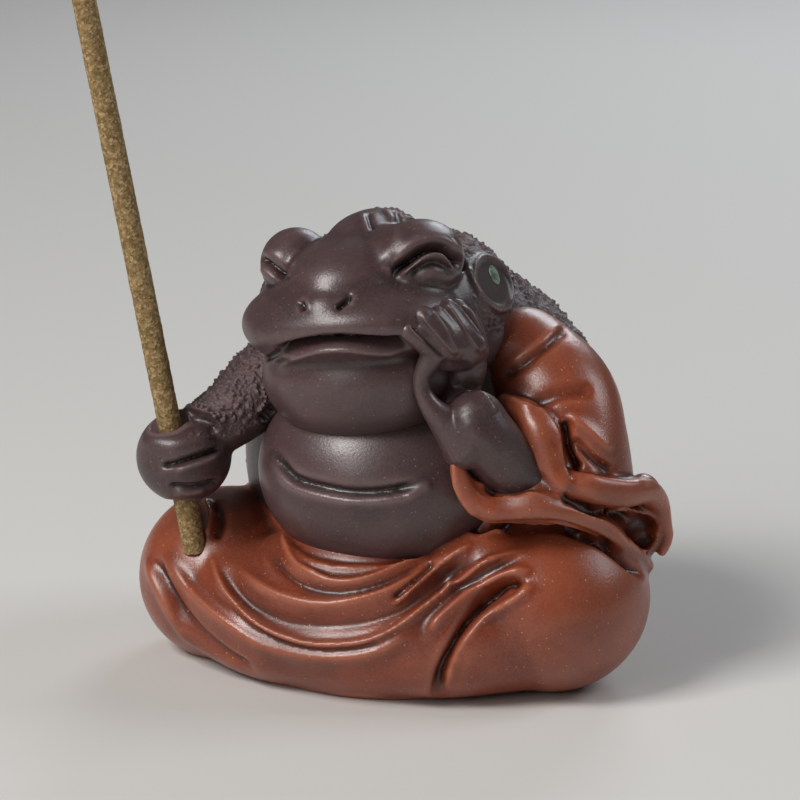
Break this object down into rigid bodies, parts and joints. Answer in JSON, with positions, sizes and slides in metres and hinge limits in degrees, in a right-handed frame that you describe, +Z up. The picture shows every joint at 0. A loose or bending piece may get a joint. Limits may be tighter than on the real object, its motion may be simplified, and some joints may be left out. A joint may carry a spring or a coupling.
{
  "type": "tea pet figurine",
  "caption": "Seated toad tea pet in a draped robe, its cheek propped on one hand, with a loose incense stick held upright through the other fist.",
  "frame": {"origin": "middle of the flat base that the figure rests on", "axes": "+Z up, the toad faces -Y, its right fist with the stick is towards -X"},
  "size_m": [0.0526, 0.0383, 0.0724],
  "materials": {
    "dark_clay": "unglazed fired clay, fine-grained and burnished to a soft satin",
    "red_clay": "unglazed red-brown fired clay, burnished smooth",
    "incense": "dry pressed powder, matt and grainy"
  },
  "bodies": {
    "root": {"toad_figure": "dark_clay", "incense_stick": "incense"}
  },
  "joints": []
}
